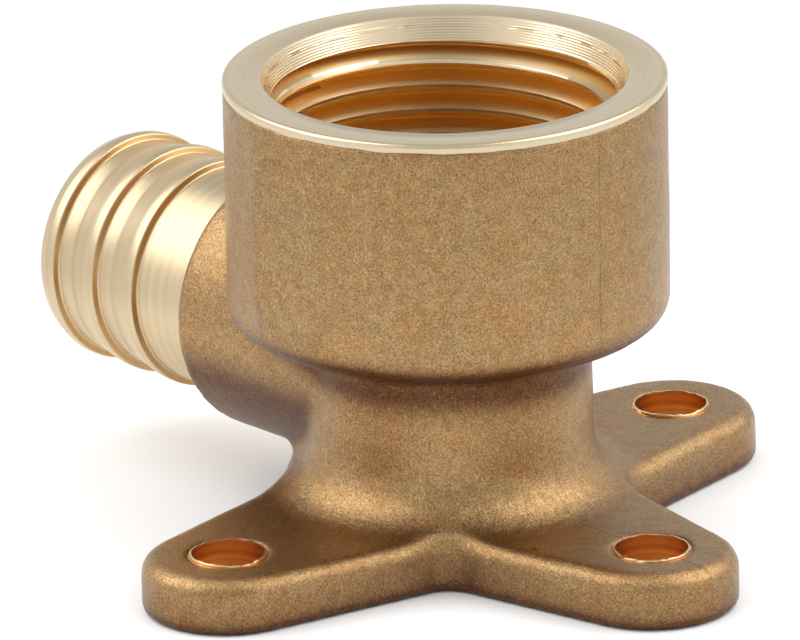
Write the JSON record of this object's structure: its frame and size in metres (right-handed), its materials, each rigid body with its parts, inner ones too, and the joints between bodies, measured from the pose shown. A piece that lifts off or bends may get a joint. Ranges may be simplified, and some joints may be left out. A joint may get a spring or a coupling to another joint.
{
  "type": "wall plate elbow",
  "caption": "Cast brass wall plate elbow with a female pipe thread facing out from the wall, a ribbed barb at right angles and flat ears drilled for screws.",
  "frame": {"origin": "on the thread axis at the back of the wall plate", "axes": "+Z out from the wall along the thread axis, -X along the barb, +X towards the ear opposite the barb"},
  "size_m": [0.0622, 0.056, 0.0348],
  "materials": {
    "brass": "shot-blasted cast skin, turned bright at the barb, the rim and the thread"
  },
  "bodies": {
    "root": {"elbow_body": "brass"}
  },
  "joints": []
}
